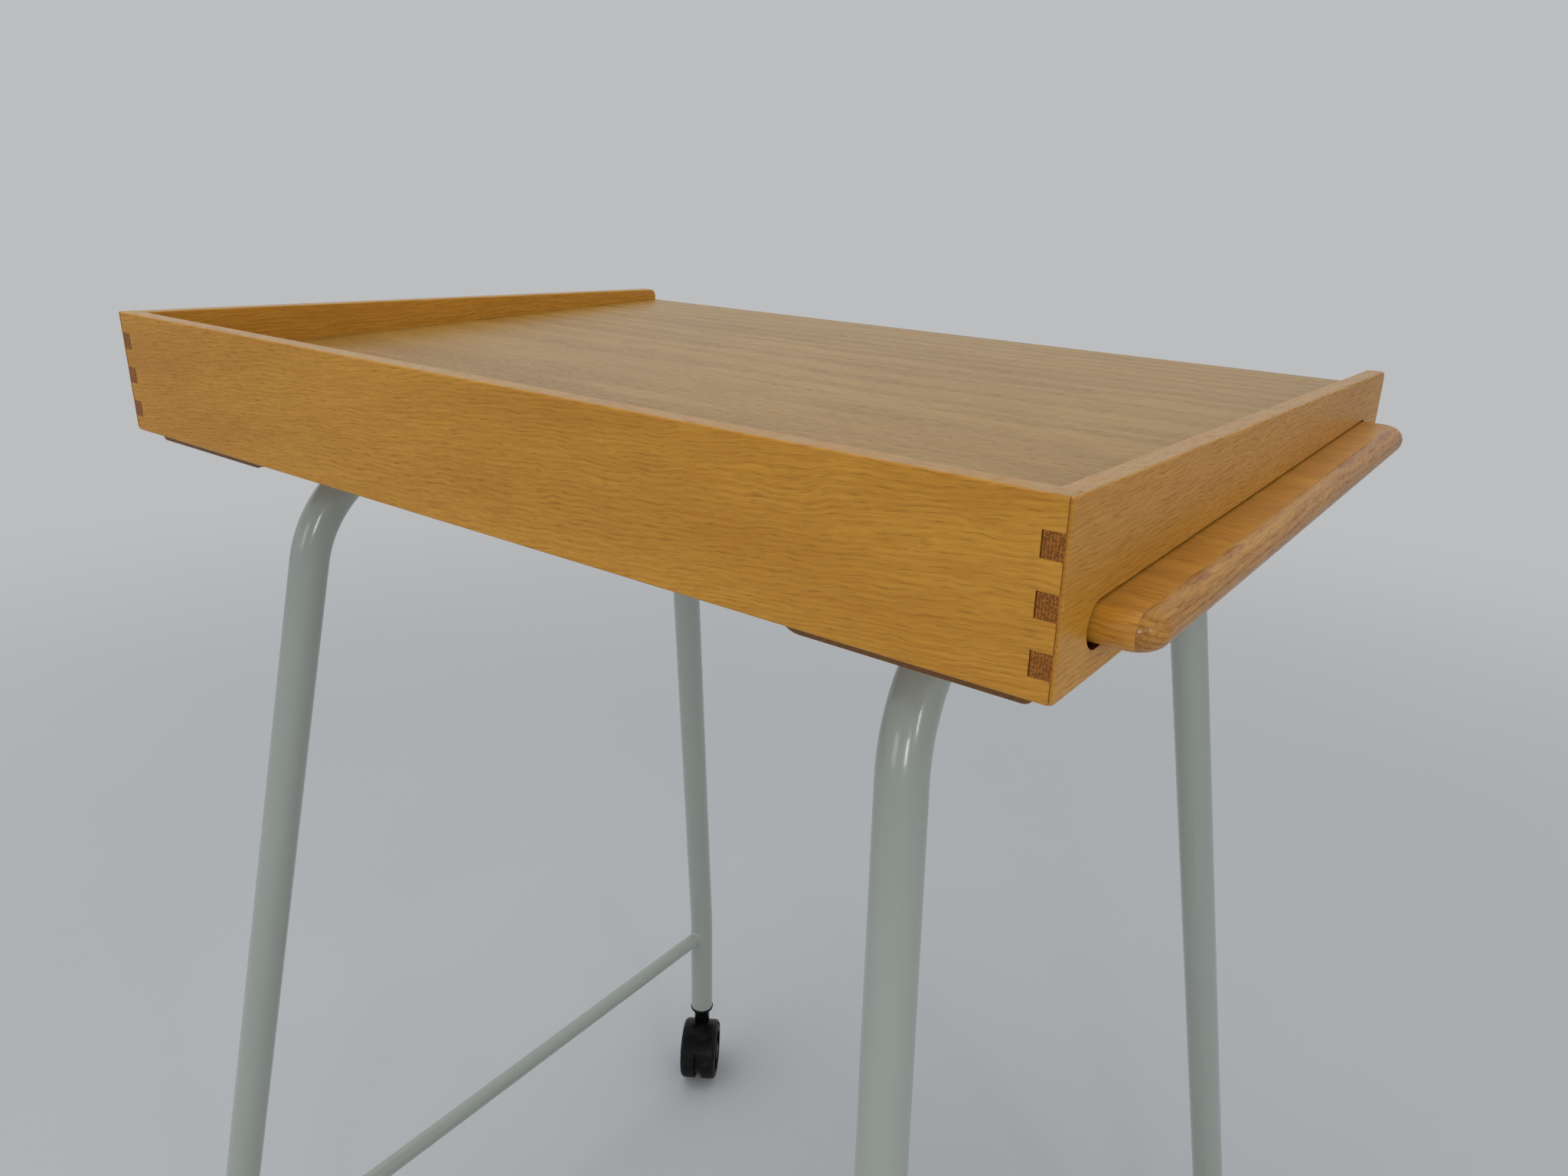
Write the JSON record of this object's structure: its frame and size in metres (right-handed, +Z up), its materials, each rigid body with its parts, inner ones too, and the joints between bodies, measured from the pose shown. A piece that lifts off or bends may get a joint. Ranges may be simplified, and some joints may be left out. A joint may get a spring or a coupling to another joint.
{
  "type": "extending drafting table",
  "caption": "Oak tray-top drafting table on bent tube legs with swivel casters and a board that pulls out of one end.",
  "frame": {"origin": "on the floor, at the middle of the table's outer limits with the board pushed in", "axes": "+X towards the end where the board pulls out, +Y towards the open side where the user sits, +Z up"},
  "size_m": [0.6702, 0.6286, 0.955],
  "materials": {
    "oak": "satin clear lacquer on solid oak",
    "oak_top": "satin clear lacquer on oak veneer",
    "oak_under": "unfinished oak",
    "enamel": "gloss light grey-green enamel",
    "steel": "zinc plated",
    "black_plastic": "satin gloss black moulding"
  },
  "bodies": {
    "table": {"worktop": "oak_top", "rear_panel": "oak", "left_end_panel": "oak", "right_end_panel": "oak", "front_rail": "oak", "left_cross_board": "oak_under", "right_cross_board": "oak_under", "cross_board_screws": "steel", "rear_runner": "oak_under", "front_runner": "oak_under", "travel_stop": "oak_under", "closing_stop": "oak_under", "left_leg_frame": "enamel", "right_leg_frame": "enamel", "left_stretcher": "enamel", "right_stretcher": "enamel", "left_frame_screws": "steel", "right_frame_screws": "steel", "sleeve_rear_left": "black_plastic", "sleeve_rear_right": "black_plastic", "sleeve_front_left": "black_plastic", "sleeve_front_right": "black_plastic"},
    "pullout_board": {"pullout_panel": "oak", "pullout_lip": "oak", "tail_stop": "oak_under"},
    "caster_rear_left": {"stem_rear_left": "steel", "hood_rear_left": "black_plastic", "axle_rear_left": "steel"},
    "wheel_a_body_rear_left": {"wheel_a_rear_left": "black_plastic"},
    "wheel_b_body_rear_left": {"wheel_b_rear_left": "black_plastic"},
    "caster_rear_right": {"stem_rear_right": "steel", "hood_rear_right": "black_plastic", "axle_rear_right": "steel"},
    "wheel_a_body_rear_right": {"wheel_a_rear_right": "black_plastic"},
    "wheel_b_body_rear_right": {"wheel_b_rear_right": "black_plastic"},
    "caster_front_left": {"stem_front_left": "steel", "hood_front_left": "black_plastic", "axle_front_left": "steel"},
    "wheel_a_body_front_left": {"wheel_a_front_left": "black_plastic"},
    "wheel_b_body_front_left": {"wheel_b_front_left": "black_plastic"},
    "caster_front_right": {"stem_front_right": "steel", "hood_front_right": "black_plastic", "axle_front_right": "steel"},
    "wheel_a_body_front_right": {"wheel_a_front_right": "black_plastic"},
    "wheel_b_body_front_right": {"wheel_b_front_right": "black_plastic"}
  },
  "joints": [
    {"name": "board_slide", "type": "slide", "parent": "table", "child": "pullout_board", "axis": [1, 0, 0], "range_m": [0, 0.3]},
    {"name": "swivel_rear_left", "type": "hinge", "parent": "table", "child": "caster_rear_left", "pos_m": [-0.3079, -0.288, 0.095], "axis": [0, 0, 1], "continuous": true},
    {"name": "wheel_a_spin_rear_left", "type": "hinge", "parent": "caster_rear_left", "child": "wheel_a_body_rear_left", "pos_m": [-0.2999, -0.27414, 0.032], "axis": [-0.866, 0.5, 0], "continuous": true},
    {"name": "wheel_b_spin_rear_left", "type": "hinge", "parent": "caster_rear_left", "child": "wheel_b_body_rear_left", "pos_m": [-0.2999, -0.27414, 0.032], "axis": [-0.866, 0.5, 0], "continuous": true},
    {"name": "swivel_rear_right", "type": "hinge", "parent": "table", "child": "caster_rear_right", "pos_m": [0.2881, -0.288, 0.095], "axis": [0, 0, 1], "continuous": true},
    {"name": "wheel_a_spin_rear_right", "type": "hinge", "parent": "caster_rear_right", "child": "wheel_a_body_rear_right", "pos_m": [0.27939, -0.27458, 0.032], "axis": [-0.8387, -0.5446, 0], "continuous": true},
    {"name": "wheel_b_spin_rear_right", "type": "hinge", "parent": "caster_rear_right", "child": "wheel_b_body_rear_right", "pos_m": [0.27939, -0.27458, 0.032], "axis": [-0.8387, -0.5446, 0], "continuous": true},
    {"name": "swivel_front_left", "type": "hinge", "parent": "table", "child": "caster_front_left", "pos_m": [-0.3079, 0.288, 0.095], "axis": [0, 0, 1], "continuous": true},
    {"name": "wheel_a_spin_front_left", "type": "hinge", "parent": "caster_front_left", "child": "wheel_a_body_front_left", "pos_m": [-0.29919, 0.27458, 0.032], "axis": [0.8387, 0.5446, 0], "continuous": true},
    {"name": "wheel_b_spin_front_left", "type": "hinge", "parent": "caster_front_left", "child": "wheel_b_body_front_left", "pos_m": [-0.29919, 0.27458, 0.032], "axis": [0.8387, 0.5446, 0], "continuous": true},
    {"name": "swivel_front_right", "type": "hinge", "parent": "table", "child": "caster_front_right", "pos_m": [0.2881, 0.288, 0.095], "axis": [0, 0, 1], "continuous": true},
    {"name": "wheel_a_spin_front_right", "type": "hinge", "parent": "caster_front_right", "child": "wheel_a_body_front_right", "pos_m": [0.2801, 0.27414, 0.032], "axis": [0.866, -0.5, 0], "continuous": true},
    {"name": "wheel_b_spin_front_right", "type": "hinge", "parent": "caster_front_right", "child": "wheel_b_body_front_right", "pos_m": [0.2801, 0.27414, 0.032], "axis": [0.866, -0.5, 0], "continuous": true}
  ]
}
